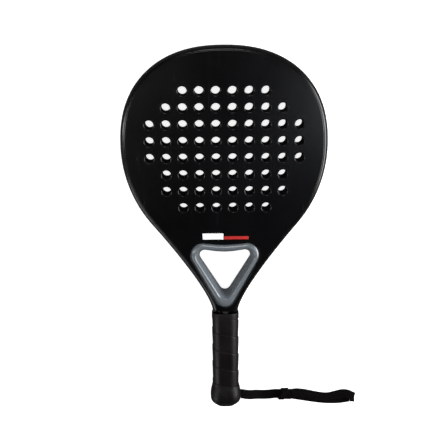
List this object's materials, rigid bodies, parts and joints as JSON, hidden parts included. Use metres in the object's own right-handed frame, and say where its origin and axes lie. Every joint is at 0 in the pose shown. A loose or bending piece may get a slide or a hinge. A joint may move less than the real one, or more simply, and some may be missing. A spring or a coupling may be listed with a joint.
{
  "type": "padel racket",
  "caption": "Teardrop padel racket with a drilled foam-filled face, open throat lined by a grey insert, wound octagonal grip, flared butt cap and a knotted flat wrist strap.",
  "frame": {"origin": "On the resting plane under the rear face, at the middle of the racket's length and width, without its strap", "axes": "+Y up the head, -Y down the handle, +Z out of the front face, +X towards the side that the strap leaves on"},
  "size_m": [0.2956, 0.4628, 0.038],
  "materials": {
    "rim_carbon": "satin painted carbon rim",
    "core_laminate": "raw laminate, hidden",
    "core_foam": "dense closed-cell foam, seen only in the holes",
    "face_carbon": "satin black laminate with a faint weave",
    "insert_grey": "glossy moulded slate grey plastic",
    "print_white": "white print under lacquer",
    "print_red": "red print under lacquer",
    "handle_foam": "moulded structural foam, hidden",
    "plug_wood": "raw hardwood, hidden",
    "grip_skin": "tacky polyurethane grip with a fine grain",
    "tape_black": "stretch finishing tape",
    "cap_rubber": "moulded soft-touch rubber",
    "badge_grey": "plain moulded plastic badge",
    "steel": "zinc plated steel",
    "webbing_black": "woven polyester webbing"
  },
  "bodies": {
    "racket": {"head_tube": "rim_carbon", "left_arm_tube": "rim_carbon", "right_arm_tube": "rim_carbon", "bridge": "core_laminate", "foam_core": "core_foam", "front_face": "face_carbon", "rear_face": "face_carbon", "throat_insert_front": "insert_grey", "throat_insert_rear": "insert_grey", "white_bar": "print_white", "red_bar": "print_red", "handle_core": "core_foam", "handle_shell_front": "handle_foam", "handle_shell_rear": "handle_foam", "tube_plugs": "plug_wood", "base_grip": "grip_skin", "finishing_tape": "tape_black", "butt_cap": "cap_rubber", "butt_badge": "badge_grey", "cap_screws": "steel", "strap_pin": "steel"},
    "strap": {"strap_eyelet": "steel", "strap_tab": "webbing_black", "strap_lead": "webbing_black", "strap_knot": "webbing_black", "strap_loop_upper": "webbing_black", "strap_loop_lower": "webbing_black"}
  },
  "joints": [
    {"name": "strap_swing", "type": "hinge", "parent": "racket", "child": "strap", "pos_m": [0.0125, -0.214, 0.019], "axis": [0, 0, 1], "range_deg": [-20, 20]}
  ]
}
